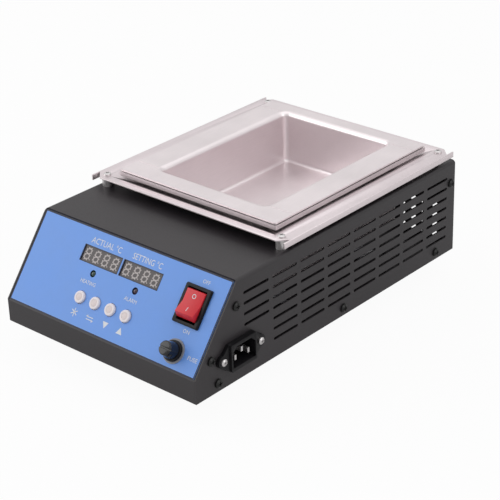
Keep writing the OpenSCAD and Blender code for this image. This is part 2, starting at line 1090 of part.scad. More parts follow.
module flange_gasket() {
  color([0.9, 0.88, 0.82])
    place()
      translate([0, pot_y, collar_z])
        linear_extrude(height = gasket_t)
          difference() {
            translate([0, -3])
              square([flange_w - 7, flange_l - 7], center = true);
            round_rect(jacket_w - 2 * jacket_t, jacket_l - 2 * jacket_t, jacket_r - jacket_t);
          }
}

module heater_jacket() {
  t = jacket_t;
  color([0.7, 0.69, 0.68])
    place()
      translate([0, pot_y, 0])
        difference() {
          union() {
            translate([0, 0, jacket_z])
              linear_extrude(height = collar_z - jacket_z)
                round_rect(jacket_w, jacket_l, jacket_r);
            translate([0, -3, collar_z - 3.4])
              linear_extrude(height = 3.4)
                round_rect(flange_w + 2, flange_l + 2, 1.5);
          }
          translate([0, 0, jacket_z + t])
            linear_extrude(height = 200)
              round_rect(jacket_w - 2 * t, jacket_l - 2 * t, jacket_r - t);
          translate([0, -3, collar_z - 3.5])
            linear_extrude(height = 2.5)
              difference() {
                square([flange_w, flange_l], center = true);
                translate([0, 3])
                  round_rect(jacket_w, jacket_l, jacket_r);
              }
          // hole for the heat sensor
          translate([20, -jacket_l / 2 - 1, floor_z - 6])
            rotate([-90, 0, 0])
              cylinder(d = 4.4, h = 4);
          for (x = [-1, 1])
            for (y = [-1, 1])
              translate([x * bracket_x, y * bracket_y, jacket_z - 1])
                cylinder(d = 4.2, h = 6);
        }
}

module jacket_brackets() {
  rise = jacket_z - foot_h - sheet;
  color([0.62, 0.62, 0.63])
    place()
      for (x = [-1, 1])
        for (y = [-1, 1])
          translate([
            x * bracket_x, pot_y + y * bracket_y, foot_h + sheet
          ])
            difference() {
              union() {
                translate([-9, -9, 0])
                  cube([18, 18, 2]);
                translate([-9, -9, rise - 2])
                  cube([18, 18, 2]);
                translate([-x * 8 - 1, -9, 0])
                  cube([2, 18, rise]);
              }
              translate([0, 0, rise - 4])
                cylinder(d = 4.2, h = 6);
            }
}

module jacket_screws() {
  color([0.72, 0.72, 0.73])
    place()
      for (x = [-1, 1])
        for (y = [-1, 1])
          translate([
            x * bracket_x, pot_y + y * bracket_y, jacket_z - 2
          ])
            rotate([180, 0, 0])
              pan_screw(4, 2 + jacket_t + 3, 7, 2.2);
}

module insulation() {
  gap = 0.4;
  w = jacket_w - 2 * jacket_t - gap;
  l = jacket_l - 2 * jacket_t - gap;
  color([0.92, 0.9, 0.85])
    place()
      translate([0, pot_y, 0])
        difference() {
          translate([0, 0, jacket_z + jacket_t])
            linear_extrude(height = flange_z - lip_r - 3 - jacket_z - jacket_t)
              round_rect(w, l, jacket_r - jacket_t);
          translate([0, 0, plate_z])
            linear_extrude(height = 100)
              round_rect(
                pot_w + 2 * pot_t + gap, pot_l + 2 * pot_t + gap, pot_corner_r + pot_t + gap / 2
              );
          translate([20, -l / 2 - 1, floor_z - 6])
            rotate([-90, 0, 0])
              cylinder(d = 4.4, h = 12);
          for (x = [-1, 1])
            for (y = [-1, 1])
              translate([x * bracket_x, y * bracket_y, jacket_z])
                cylinder(d = 5, h = 5.5);
        }
}

module heater_plate() {
  color([0.45, 0.44, 0.44])
    place()
      translate([0, pot_y, plate_z])
        difference() {
          linear_extrude(height = floor_z - pot_t - plate_z)
            round_rect(pot_w, pot_l, pot_corner_r);
          for (x = [-36, 0, 36])
            translate([x, -pot_l / 2 - 1, 4.5])
              rotate([-90, 0, 0])
                cylinder(d = 6.2, h = pot_l - 8);
          translate([20, -pot_l / 2 - 1, floor_z - 6 - plate_z])
            rotate([-90, 0, 0])
              cylinder(d = 4.4, h = 30);
        }
}

module heater_rods() {
  color([0.8, 0.8, 0.8])
    place()
      for (x = [-36, 0, 36])
        translate([x, pot_y - pot_l / 2, plate_z + 4.5])
          rotate([-90, 0, 0])
            cylinder(d = 6, h = pot_l - 9);
}

module heat_sensor() {
  color([0.85, 0.85, 0.86])
    place()
      translate([20, pot_y - jacket_l / 2 - 12, floor_z - 6])
        rotate([-90, 0, 0])
          cylinder(d = 3, h = 45);
}

module sensor_clamp() {
  color([0.8, 0.65, 0.35])
    place()
      translate([20, pot_y - jacket_l / 2 - 7, floor_z - 6])
        rotate([-90, 0, 0])
          difference() {
            cylinder(d = 10, h = 7, $fn = 6);
            translate([0, 0, -1])
              cylinder(d = 3.2, h = 9);
          }
}

// power electronics in the front bay

module power_board() {
  color([0.1, 0.32, 0.18])
    place()
      translate([-82, front_y + 38, foot_h + sheet + 6])
        cube([118, 62, 1.6]);
}

module power_board_spacers() {
  color([0.85, 0.85, 0.8])
    place()
      for (x = [-78, 32])
        for (y = [42, 96])
          translate([x, front_y + y, foot_h + sheet])
            cylinder(d = 6, h = 6);
}

module transformer() {
  color([0.2, 0.2, 0.22])
    place()
      translate([-78, front_y + 58, foot_h + sheet + 7.6])
        union() {
          cube([38, 32, 9]);
          translate([6, -3, 3])
            cube([26, 38, 15]);
          translate([0, 0, 12])
            cube([38, 32, 12]);
        }
}

module heat_sink() {
  color([0.62, 0.63, 0.65])
    place()
      translate([-18, front_y + 76, foot_h + sheet + 7.6])
        union() {
          cube([50, 3, 24]);
          for (i = [0 : 8])
            translate([i * 6, 0, 0])
              cube([2, 16, 24]);
        }
}

module triac() {
  color([0.1, 0.1, 0.1])
    place()
      translate([0, front_y + 71.4, foot_h + sheet + 7.6])
        union() {
          translate([0, 0, 3])
            cube([10, 4.6, 15]);
          for (x = [1, 4.6, 8.2])
            translate([x, 2, 0])
              cube([0.8, 0.8, 4]);
        }
}

module terminal_block() {
  color([0.2, 0.45, 0.3])
    place()
      translate([-16, front_y + 42, foot_h + sheet + 7.6])
        difference() {
          cube([40, 11, 12]);
          for (i = [0 : 4])
            translate([4 + i * 8, 5.5, 6])
              cylinder(d = 5, h = 8);
          for (i = [0 : 4])
            translate([1.5 + i * 8, -1, 1.5])
              cube([5, 5, 4]);
        }
}

cover();
chassis();
front_film();
display_actual();
display_set();
lamp_heating();
lamp_alarm();
button_store();
button_shift();
button_down();
button_up();
tact_switches();
control_board();
board_pillars();
board_screws();
switch_housing();
switch_terminals();
rocker();
fuse_holder();
fuse_washer();
fuse_nut();
fuse_cap();
fuse_tube();
fuse_ends();
inlet_body();
inlet_pins();
inlet_screws();
inlet_nuts();
side_screws_left();
side_screws_right();
feet();
foot_screws();
foot_nuts();
drip_tray();
tray_pillars();
tray_screws();
pot();
flange_gasket();
heater_jacket();
jacket_brackets();
jacket_screws();
insulation();
heater_plate();
heater_rods();
heat_sensor();
sensor_clamp();
power_board();
power_board_spacers();
transformer();
heat_sink();
triac();
terminal_block();
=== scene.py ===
import json
import math
import bpy
from mathutils import Matrix, Vector


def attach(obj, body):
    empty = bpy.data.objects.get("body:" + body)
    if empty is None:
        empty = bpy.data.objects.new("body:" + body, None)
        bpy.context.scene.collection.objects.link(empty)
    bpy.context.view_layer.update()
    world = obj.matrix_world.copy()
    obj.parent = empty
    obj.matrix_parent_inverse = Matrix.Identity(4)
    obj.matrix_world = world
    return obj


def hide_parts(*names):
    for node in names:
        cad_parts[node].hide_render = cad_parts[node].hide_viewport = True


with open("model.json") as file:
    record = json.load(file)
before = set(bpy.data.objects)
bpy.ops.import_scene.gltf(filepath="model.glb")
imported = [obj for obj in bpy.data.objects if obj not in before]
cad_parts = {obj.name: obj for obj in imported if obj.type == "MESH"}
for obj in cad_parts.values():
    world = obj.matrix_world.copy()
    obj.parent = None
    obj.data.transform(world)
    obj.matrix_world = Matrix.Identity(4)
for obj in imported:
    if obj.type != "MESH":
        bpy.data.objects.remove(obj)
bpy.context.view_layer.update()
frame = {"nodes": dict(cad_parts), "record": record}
nodes = frame["nodes"]
print("frame loaded:", len(nodes), "pieces")

# where the sloped panel lies, in metres
panel = {
    "middle": -0.0014,                # x of the casing's middle
    "lowerBend": (-0.1545, 0.0397),   # y and z of the panel's lower bend
    "run": 0.0469,
    "rise": 0.0608,
}
slopeAngle = math.atan2(panel["rise"], panel["run"])
onPanel = (
    Matrix.Translation((panel["middle"], panel["lowerBend"][0], panel["lowerBend"][1]))
    @ Matrix.Rotation(slopeAngle, 4, "X")
)


def mm(v):
    return v / 1000.0


def deselectAll():
    for o in bpy.context.selected_objects:
        o.select_set(False)


def pick(piece):
    deselectAll()
    piece.select_set(True)
    bpy.context.view_layer.objects.active = piece


def settle(piece, place=None):
    # the place goes into the mesh, and the object stays at the origin
    if place is not None:
        piece.matrix_world = place @ piece.matrix_world
    pick(piece)
    bpy.ops.object.transform_apply(location=True, rotation=True, scale=True)
    return piece


def finishPiece(piece, name, body, material):
    piece.name = name
    piece.data.name = name
    piece.data.materials.clear()
    piece.data.materials.append(material)
    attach(piece, body)


# finishes

surface = {
    "noiseRoughness": 0.6,
    "toneStops": (0.3, 0.7),   # where in the noise the darkest and the lightest tone lie
    "sheenSpread": 0.12,       # how far the roughness goes up and down
    "fineTimes": 9,            # the grain is this much finer than the mottle
    "fineDetail": 2.0,
    "fineStrength": 0.35,
}


def newMaterial(name):
    m = bpy.data.materials.new(name)
    m.use_nodes = True
    tree = m.node_tree
    coords = tree.nodes.new("ShaderNodeTexCoord")
    return m, tree, tree.nodes["Principled BSDF"], coords


def grain(tree, coords, scale, detail=3.0, stretch=(1, 1, 1)):
    mapping = tree.nodes.new("ShaderNodeMapping")
    mapping.inputs["Scale"].default_value = stretch
    tree.links.new(coords.outputs["Object"], mapping.inputs["Vector"])
    noise = tree.nodes.new("ShaderNodeTexNoise")
    noise.inputs["Scale"].default_value = scale
    noise.inputs["Detail"].default_value = detail
    noise.inputs["Roughness"].default_value = surface["noiseRoughness"]
    tree.links.new(mapping.outputs["Vector"], noise.inputs["Vector"])
    return noise.outputs["Fac"]


def tones(tree, source, color, depth):
    # the colour goes lighter and darker by this depth, as the noise does
    r = tree.nodes.new("ShaderNodeValToRGB")
    dark, light = r.color_ramp.elements
    dark.position, light.position = surface["toneStops"]
    dark.color = [c * (1 - depth) for c in color] + [1]
    light.color = [min(1, c * (1 + depth)) for c in color] + [1]
    tree.links.new(source, r.inputs["Fac"])
    return r.outputs["Color"]


def span(tree, source, low, high, start=0.25, end=0.75):
    r = tree.nodes.new("ShaderNodeMapRange")
    r.inputs["From Min"].default_value = start
    r.inputs["From Max"].default_value = end
    r.inputs["To Min"].default_value = low
    r.inputs["To Max"].default_value = high
    tree.links.new(source, r.inputs["Value"])
    return r.outputs["Result"]


def bump(tree, shader, source, strength, distance):
    b = tree.nodes.new("ShaderNodeBump")
    b.inputs["Strength"].default_value = strength
    b.inputs["Distance"].default_value = distance
    tree.links.new(source, b.inputs["Height"])
    tree.links.new(b.outputs["Normal"], shader.inputs["Normal"])


def mathNode(tree, operation, *values):
    # each value is a number or the output of another node
    n = tree.nodes.new("ShaderNodeMath")
    n.operation = operation
    for socket, value in zip(n.inputs, values):
        if isinstance(value, float):
            socket.default_value = value
        else:
            tree.links.new(value, socket)
    return n.outputs["Value"]


def blend(tree, kind, share, first, second):
    n = tree.nodes.new("ShaderNodeMix")
    n.data_type = kind
    for name, value in (("Factor", share), ("A", first), ("B", second)):
        if isinstance(value, (float, tuple)):
            n.inputs[name].default_value = value
        else:
            tree.links.new(value, n.inputs[name])
    return n.outputs["Result"]


def plainFinish(
    name, color, roughness, metallic=0.0, mottle=0.06, scale=180.0, grainDepth=0.00002, coat=0.0, specular=0.5
):
    m, tree, shader, coords = newMaterial(name)
    cloud = grain(tree, coords, scale)
    tree.links.new(tones(tree, cloud, color, mottle), shader.inputs["Base Color"])
    spread = roughness * surface["sheenSpread"]
    sheen = span(tree, cloud, roughness - spread, min(1, roughness + spread))
    tree.links.new(sheen, shader.inputs["Roughness"])
    shader.inputs["Metallic"].default_value = metallic
    shader.inputs["Coat Weight"].default_value = coat
    shader.inputs["Specular IOR Level"].default_value = specular
    if grainDepth:
        fineGrain = grain(tree, coords, scale * surface["fineTimes"], surface["fineDetail"])
        bump(tree, shader, fineGrain, surface["fineStrength"], grainDepth)
    return m


powder = {
    "cloudScale": 14.0,
    "cloudDetail": 4.0,
    "cloudDepth": 0.1,
    "peelScale": 1400.0,
    "peelStrength": 0.25,
    "peelDepth": 0.00005,
    "roughness": (0.4, 0.52),
}


def powderCoat(name, color):
    m, tree, shader, coords = newMaterial(name)
    cloud = grain(tree, coords, powder["cloudScale"], powder["cloudDetail"])
    tree.links.new(tones(tree, cloud, color, powder["cloudDepth"]), shader.inputs["Base Color"])
    peel = grain(tree, coords, powder["peelScale"])
    tree.links.new(span(tree, peel, *powder["roughness"]), shader.inputs["Roughness"])
    bump(tree, shader, peel, powder["peelStrength"], powder["peelDepth"])
    return m


# painted shade: the tray's inner slopes under the pot flange are darkened, standing for the flange's shade
# and the dark underside they mirror
paintedSlopeShade = {
    "color": (0.02, 0.016, 0.015, 1.0),
    "towards": (-0.35, 1, 0),    # which way a slope with painted shade leans
    "lean": (0.02, 0.3),         # from no painted shade to the full painted shade
    "slopeUp": 0.92,             # how far a shallow slope's normal points up, and the reach about it
    "slopeReach": 0.06,
}


def paintSlopeShade(tree, tone, depth):
    # painted shade and dark reflection: the slopes that fall to the rear, and a little those to the left, are
    # darkened as if shaded by the pot flange above them
    facing = tree.nodes.new("ShaderNodeNewGeometry").outputs["True Normal"]
    lean = tree.nodes.new("ShaderNodeVectorMath")
    lean.operation = "DOT_PRODUCT"
    lean.inputs[1].default_value = paintedSlopeShade["towards"]
    tree.links.new(facing, lean.inputs[0])
    share = span(tree, lean.outputs["Value"], 0.0, depth, *paintedSlopeShade["lean"])
    parts = tree.nodes.new("ShaderNodeSeparateXYZ")
    tree.links.new(facing, parts.inputs["Vector"])
    onSlope = mathNode(tree, "COMPARE", parts.outputs["Z"], paintedSlopeShade["slopeUp"], paintedSlopeShade["slopeReach"])
    amount = mathNode(tree, "MULTIPLY", share, onSlope)
    return blend(tree, "RGBA", amount, tone, paintedSlopeShade["color"])


brushing = {
    "streakScale": 2200.0,
    "streakDetail": 2.0,
    "streakStretch": (1.0, 0.03, 1.0),   # the streaks run from front to rear
    "streakStrength": 0.18,
    "streakDepth": 0.00002,
    "streakShare": 0.45,
    "cloudScale": 22.0,
    "cloudDetail": 5.0,
    "sheenSpread": 0.18,
}


def brushedSteel(name, color, roughness, cloudDepth, shadeDepth=0.0):
    # fine streaks, with soft clouds of wear over them
    m, tree, shader, coords = newMaterial(name)
    streak = grain(
        tree, coords, brushing["streakScale"], brushing["streakDetail"], brushing["streakStretch"]
    )
    cloud = grain(tree, coords, brushing["cloudScale"], brushing["cloudDetail"])
    wear = blend(tree, "FLOAT", brushing["streakShare"], cloud, streak)
    tone = tones(tree, wear, color, cloudDepth)
    # painted shade on the slopes, where it is asked for
    if shadeDepth:
        tone = paintSlopeShade(tree, tone, shadeDepth)
    tree.links.new(tone, shader.inputs["Base Color"])
    spread = roughness * brushing["sheenSpread"]
    tree.links.new(span(tree, wear, roughness - spread, roughness + spread), shader.inputs["Roughness"])
    shader.inputs["Metallic"].default_value = 1.0
    bump(tree, shader, streak, brushing["streakStrength"], brushing["streakDepth"])
    return m


glass = {
    "color": (0.9, 0.95, 0.95, 1),
    "clearness": 0.9,
    "bending": 1.5,
    "hazeScale": 300.0,
    "roughness": (0.04, 0.1),
}


def clearGlass(name):
    m, tree, shader, coords = newMaterial(name)
    shader.inputs["Base Color"].default_value = glass["color"]
    shader.inputs["Transmission Weight"].default_value = glass["clearness"]
    shader.inputs["IOR"].default_value = glass["bending"]
    haze = grain(tree, coords, glass["hazeScale"])
    tree.links.new(span(tree, haze, *glass["roughness"]), shader.inputs["Roughness"])
    return m


def lens(name, color):
    return plainFinish(name, color, 0.12, mottle=0.2, scale=300, grainDepth=0, coat=0.5)


finishes = {   # by the material slot of the part
    "casing_paint": powderCoat("charcoalPowder", (0.026, 0.022, 0.025)),
    "panel_blue": plainFinish(
        "blueFilm", (0.165, 0.375, 0.92), 0.42, mottle=0.03, scale=40, grainDepth=0.00001
    ),
    "display_grey": plainFinish(
        "smokedDisplay", (0.058, 0.046, 0.046), 0.3, mottle=0.1, scale=120, grainDepth=0
    ),
    "lamp_green": lens("greenLens", (0.006, 0.05, 0.035)),
    "lamp_red": lens("redLens", (0.035, 0.004, 0.022)),
    "key_white": plainFinish("keyWhite", (0.97, 0.90, 0.92), 0.38, mottle=0.02, scale=300),
    "black_plastic": plainFinish(
        "blackPlastic", (0.008, 0.0075, 0.009), 0.36, mottle=0.15, scale=160, specular=0.2
    ),
    "rocker_red": plainFinish(
        "rockerRed", (0.72, 0.022, 0.035), 0.42, mottle=0.05, scale=120, grainDepth=0.00001
    ),
    "grey_plastic": plainFinish("greyPlastic", (0.30, 0.31, 0.35), 0.5, scale=200),
    "black_rubber": plainFinish(
        "footRubber", (0.02, 0.02, 0.02), 0.75, mottle=0.2, scale=220, grainDepth=0.00005
    ),
    # the tray's inner slopes carry painted shade
    "stainless": brushedSteel("trayStainless", (0.80, 0.72, 0.74), 0.36, 0.05, shadeDepth=0.8),
    "pot_steel": brushedSteel("potStainless", (0.82, 0.755, 0.768), 0.40, 0.06),
    "bright_screw": plainFinish(
        "brightNickel", (0.62, 0.60, 0.60), 0.42, metallic=1.0, scale=400, grainDepth=0.00001
    ),
    "black_screw": plainFinish(
        "blackOxide", (0.02, 0.02, 0.02), 0.32, metallic=0.6, mottle=0.2, scale=400, grainDepth=0.00001
    ),
    "zinc_steel": plainFinish(
        "zincSteel", (0.62, 0.62, 0.64), 0.38, metallic=1.0, mottle=0.08, scale=300, grainDepth=0.00001
    ),
    "brass_part": plainFinish(
        "brassPart", (0.72, 0.52, 0.24), 0.32, metallic=1.0, mottle=0.08, scale=300, grainDepth=0.00001
    ),
    "board_green": plainFinish("solderMask", (0.01, 0.11, 0.035), 0.35, mottle=0.15, scale=90),
    "fuse_glass": clearGlass("fuseGlass"),
    "fibre_pad": plainFinish(
        "fibrePad", (0.72, 0.69, 0.62), 0.95, mottle=0.12, scale=260, grainDepth=0.0004
    ),
    "plate_iron": plainFinish(
        "machinedIron", (0.16, 0.155, 0.155), 0.5, metallic=0.9, mottle=0.12, scale=140
    ),
    "sink_aluminium": plainFinish("extrudedAluminium", (0.66, 0.67, 0.69), 0.36, metallic=1.0),
    "block_green": plainFinish("blockGreen", (0.04, 0.2, 0.1), 0.42, scale=150),
}
ownFinishes = {   # nodes whose finish differs from their slot's
    "heater_jacket": brushedSteel("jacketSteel", (0.66, 0.60, 0.61), 0.5, 0.06),
    "fuse_cap": plainFinish(
        "capBlack", (0.006, 0.006, 0.009), 0.18,
        mottle=0.15, scale=160, grainDepth=0.00001, coat=0.4, specular=0.3,
    ),
}
whiteInk = plainFinish("whiteInk", (0.84, 0.86, 0.90), 0.5, mottle=0.03, scale=400, grainDepth=0)
segmentInk = plainFinish("segmentGrey", (0.52, 0.47, 0.46), 0.4, scale=500, grainDepth=0)
# navy lines: painted shade along the film's edges, and the thin frames round the display windows
navyLinesAndGapShade = plainFinish("navyLinesAndGapShade", (0.004, 0.007, 0.028), 0.5, mottle=0.1, scale=200, grainDepth=0)
keyCentreFinish = plainFinish(
    "keyCentre", (0.90, 0.79, 0.79), 0.55, mottle=0.05, scale=900, grainDepth=0.00004
)

slotOf = {s["node"]: s["material_slot"] for s in frame["record"]["subparts"]}
for nodeName, o in nodes.items():
    o.data.materials.clear()
    o.data.materials.append(ownFinishes.get(nodeName, finishes[slotOf[nodeName]]))
print("finishes set")

# words printed on the blue film: x and s on the panel, letter height and squeeze, in millimetres
legends = {
    "legendActual": ("ACTUAL °C", -25.5, 66.2, 6.6, 0.92),
    "legendSet": ("SETTING °C", 17.0, 66.2, 6.6, 0.86),
    "legendHeat": ("HEATING", -28.8, 35.0, 4.2, 0.9),
    "legendAlarm": ("ALARM", 16.0, 35.0, 4.2, 0.95),
    "legendOff": ("OFF", 74.9, 67.6, 4.0, 1.0),
    "legendOn": ("ON", 74.9, 29.6, 4.0, 1.0),
    "legendFuse": ("FUSE", 89.3, 13.2, 4.4, 1.0),
}
printLift = 0.06   # above the film, in millimetres


def addText(words, size, squeeze):
    # a text is made a mesh before its place is applied
    deselectAll()
    bpy.ops.object.text_add(location=(0, 0, 0))
    t = bpy.context.object
    t.data.body = words
    t.data.size = size
    t.data.align_x = "CENTER"
    t.data.align_y = "CENTER"
    t.data.resolution_u = 3
    t.scale = (squeeze, 1, 1)
    pick(t)
    bpy.ops.object.convert(target="MESH")
    return bpy.context.object


for name, (words, x, s, height, squeeze) in legends.items():
    legend = addText(words, mm(height), squeeze)
    settle(legend, onPanel @ Matrix.Translation((mm(x), mm(s), mm(printLift))))
    finishPiece(legend, name, "base", whiteInk)


def roundCorners(piece, reach):
    # printed strokes have slightly rounded corners
    pick(piece)
    bpy.ops.object.mode_set(mode="EDIT")
    bpy.ops.mesh.select_mode(type="VERT")
    bpy.ops.mesh.select_all(action="SELECT")
    bpy.ops.mesh.bevel(offset=reach, segments=3, affect="VERTICES")
    bpy.ops.object.mode_set(mode="OBJECT")


def flatBar(x, y, length, width, turn=0.0, rounding=0.0):
    # a flat stroke, its long way along x before the turn
    deselectAll()
    bpy.ops.mesh.primitive_plane_add(size=1, location=(0, 0, 0))
    bar = bpy.context.object
    bar.scale = (mm(length), mm(width), 1)
    settle(bar)
    if rounding:
        roundCorners(bar, mm(width * rounding))
    return settle(bar, Matrix.Translation((mm(x), mm(y), 0)) @ Matrix.Rotation(math.radians(turn), 4, "Z"))


def disc(radius, vertices):
    deselectAll()
    bpy.ops.mesh.primitive_circle_add(
        vertices=vertices, radius=mm(radius), fill_type="NGON", location=(0, 0, 0)
    )
    return bpy.context.object


def flatTriangle(x, y, reach, turn):
    triangle = disc(reach, 3)
    roundCorners(triangle, mm(reach * marks["cornerShare"]))
    place = Matrix.Translation((mm(x), mm(y), 0)) @ Matrix.Rotation(math.radians(turn), 4, "Z")
    return settle(triangle, place)


def joined(parts):
    deselectAll()
    for p in parts:
        p.select_set(True)
    bpy.context.view_layer.objects.active = parts[0]
    if len(parts) > 1:
        bpy.ops.object.join()
    return bpy.context.object


def printedShape(parts, x, s, name, material=whiteInk, lift=printLift):
    piece = joined(parts)
    settle(piece, onPanel @ Matrix.Translation((mm(x), mm(s), mm(lift))))
    finishPiece(piece, name, "base", material)


# marks under the four keys, in millimetres on the panel
marks = {
    "store": (-30.2, 10.9),
    "shift": (-13.8, 10.9),
    "down": (2.3, 11.7),
    "up": (17.6, 10.6),
    "triangle": 3.4,
    "stroke": 0.6,
    "starStroke": 0.66,
    "starTurns": (30, 90, 150),
    "arrowLength": 6.6,
    "arrowApart": 1.0,         # each arrow's shaft lies this far from the middle
    "arrowHead": (2.9, 1.3),   # where its head sits along it and across it
    "endShare": 0.3,           # how much of a stroke's width its corners round off
    "cornerShare": 0.05,       # and of a triangle's reach
}
headX, headY = marks["arrowHead"]
arrow = marks["arrowLength"], marks["stroke"]
printedShape([flatTriangle(0, 0, marks["triangle"], 180)], *marks["down"], "markDown")
printedShape([flatTriangle(0, 0, marks["triangle"], 0)], *marks["up"], "markUp")
printedShape(
    [
        flatBar(0, 0, 2 * marks["triangle"], marks["starStroke"], turn, marks["endShare"])
        for turn in marks["starTurns"]
    ],
    *marks["store"], "markStore",
)
printedShape(
    [
        flatBar(0, marks["arrowApart"], *arrow), flatTriangle(-headX, headY, headY, 90),
        flatBar(0, -marks["arrowApart"], *arrow), flatTriangle(headX, -headY, headY, -90),
    ],
    *marks["shift"], "markShift",
)

# thin dark lines: painted shade in the gaps where the film's edges meet the casing, and thin dark lines round
# the display windows
filmGapShade = {"halfWidth": 96.5, "low": 1.1, "high": 74.9, "width": 1.0}
displays = {
    "at": {"display_actual": -26.0, "display_set": 15.6},
    "middle": 55.2,
    "halfWidth": 19.8,
    "halfHeight": 6.3,
    "edgeWidth": 0.55,
    "edgeLift": 0.08,
}


def frameOfBars(halfX, low, high, width):
    middle = (low + high) / 2
    upright = high - low - width
    return [
        flatBar(0, low, 2 * halfX + width, width), flatBar(0, high, 2 * halfX + width, width),
        flatBar(-halfX, middle, width, upright), flatBar(halfX, middle, width, upright),
    ]


# painted shade in the gaps at the film's edges
filmShadeBars = frameOfBars(filmGapShade["halfWidth"], filmGapShade["low"], filmGapShade["high"], filmGapShade["width"])
printedShape(filmShadeBars, 0, 0, "filmGapShade", navyLinesAndGapShade)
for nodeName, x in displays["at"].items():
    halfHeight = displays["halfHeight"]
    windowBars = frameOfBars(displays["halfWidth"], -halfHeight, halfHeight, displays["edgeWidth"])
    printedShape(windowBars, x, displays["middle"], nodeName + "_edge", navyLinesAndGapShade, displays["edgeLift"])

# seven-segment digits: one segment is modelled, and a digit is seven copies and its point
digit = {
    "width": 4.7,
    "height": 8.2,
    "stroke": 0.75,
    "gap": 0.2,
    "middleUpTo": 0.4,         # a segment's middle corners lie within this share of its length
    "slant": 7.0,
    "pitch": 9.5,
    "point": 0.5,
    "pointSides": 16,
    "pointPast": (1.0, 0.1),   # right of the digit and up from its foot
    "inRow": 4,
    "rowShift": -0.4,
    "lift": -0.75,             # the display's face lies 0.8 mm under the film's
}
hexagonFlat = math.sqrt(3) / 2   # a hexagon's width across its flats, as a share of that across its corners


def copyOf(piece):
    twin = piece.copy()
    twin.data = piece.data.copy()
    bpy.context.scene.collection.objects.link(twin)
    return twin


def segment(length, width):
    # a hexagon whose two corners on y are drawn in to a narrow middle, so that its ends are broad
    seg = disc(length / 2, 6)
    pick(seg)
    bpy.ops.object.mode_set(mode="EDIT")
    bpy.ops.mesh.select_mode(type="VERT")
    bpy.ops.mesh.select_all(action="DESELECT")
    bpy.ops.object.mode_set(mode="OBJECT")
    for v in seg.data.vertices:
        v.select = abs(v.co.x) < mm(length) * digit["middleUpTo"]
    bpy.ops.object.mode_set(mode="EDIT")
    bpy.ops.transform.resize(value=(1, width / (length * hexagonFlat), 1))
    bpy.ops.object.mode_set(mode="OBJECT")
    return seg


slantTurn = math.radians(digit["slant"])
levelBar = segment(digit["width"] - digit["gap"] * 2, digit["stroke"])
uprightBar = segment(digit["height"] / 2 - digit["gap"] * 2, digit["stroke"])


def segmentAt(source, x, y, turn):
    place = Matrix.Translation((mm(x + y * math.tan(slantTurn)), mm(y), 0))
    return settle(copyOf(source), place @ Matrix.Rotation(turn, 4, "Z"))


halfW, halfH = digit["width"] / 2, digit["height"] / 2
digitParts = [segmentAt(levelBar, 0, y, 0) for y in (-halfH, 0, halfH)]
digitParts += [
    segmentAt(uprightBar, x, y, math.radians(90) - slantTurn)
    for x in (-halfW, halfW) for y in (-halfH / 2, halfH / 2)
]
pointX, pointY = digit["pointPast"]
pointPlace = Matrix.Translation((mm(halfW + pointX), mm(pointY - halfH), 0))
digitParts.append(settle(disc(digit["point"], digit["pointSides"]), pointPlace))
oneDigit = joined(digitParts)
for nodeName, x in displays["at"].items():
    firstStep = digit["rowShift"] - digit["pitch"] * (digit["inRow"] - 1) / 2
    steps = [firstStep + i * digit["pitch"] for i in range(digit["inRow"])]
    row = [settle(copyOf(oneDigit), Matrix.Translation((mm(step), 0, 0))) for step in steps]
    printedShape(row, x, displays["middle"], nodeName + "_digits", segmentInk, digit["lift"])
for source in (levelBar, uprightBar, oneDigit):
    bpy.data.objects.remove(source)
print("panel printed")

# marks on the rocker's two faces, which move with it
rocker = {
    "middle": (71.7, 48.4),
    "ringAt": (6.6, 3.12),    # up the panel from the middle, and out of the film
    "ringRadius": 1.75,
    "ringSides": 40,
    "stroke": 0.5,
    "barAt": (-3.6, 5.30),
    "barTurn": -23.9,         # the lower face tips this far from the panel
    "barLength": 3.4,
    "barStroke": 0.55,
}


def onRocker(at):
    x, s = rocker["middle"]
    return onPanel @ Matrix.Translation((mm(x), mm(s + at[0]), mm(at[1])))


ring = disc(rocker["ringRadius"], rocker["ringSides"])
bpy.ops.object.mode_set(mode="EDIT")
bpy.ops.mesh.select_all(action="SELECT")
bpy.ops.mesh.inset(thickness=mm(rocker["stroke"]))
bpy.ops.mesh.delete(type="FACE")
bpy.ops.object.mode_set(mode="OBJECT")
settle(ring, onRocker(rocker["ringAt"]))
finishPiece(ring, "rockerRing", "power_rocker", whiteInk)
bar = flatBar(0, 0, rocker["barLength"], rocker["barStroke"], 90, marks["endShare"])
settle(bar, onRocker(rocker["barAt"]) @ Matrix.Rotation(math.radians(rocker["barTurn"]), 4, "X"))
finishPiece(bar, "rockerBar", "power_rocker", whiteInk)

# soft centres of the push buttons
keyCentre = {
    "firstX": -30.3,
    "pitch": 16.0,
    "s": 22.9,
    "radius": 2.7,
    "sides": 48,
    "thick": 0.24,
    "floor": 1.47,
    "edge": 0.1,
    "smoothUpTo": 35,
    "bodies": ("store_key", "shift_key", "down_key", "up_key"),
}
for i, body in enumerate(keyCentre["bodies"]):
    deselectAll()
    bpy.ops.mesh.primitive_cylinder_add(
        vertices=keyCentre["sides"], radius=mm(keyCentre["radius"]), depth=mm(keyCentre["thick"]),
        location=(0, 0, 0),
    )
    centre = bpy.context.object
    soften = centre.modifiers.new("soften", "BEVEL")
    soften.width = mm(keyCentre["edge"])
    soften.segments = 2
    pick(centre)
    bpy.ops.object.modifier_apply(modifier="soften")
    bpy.ops.object.shade_smooth_by_angle(angle=math.radians(keyCentre["smoothUpTo"]))
    keyX = keyCentre["firstX"] + i * keyCentre["pitch"]
    out = keyCentre["floor"] + keyCentre["thick"] / 2
    settle(centre, onPanel @ Matrix.Translation((mm(keyX), mm(keyCentre["s"]), mm(out))))
    finishPiece(centre, body + "_centre", body, keyCentreFinish)
print("rocker and keys marked")

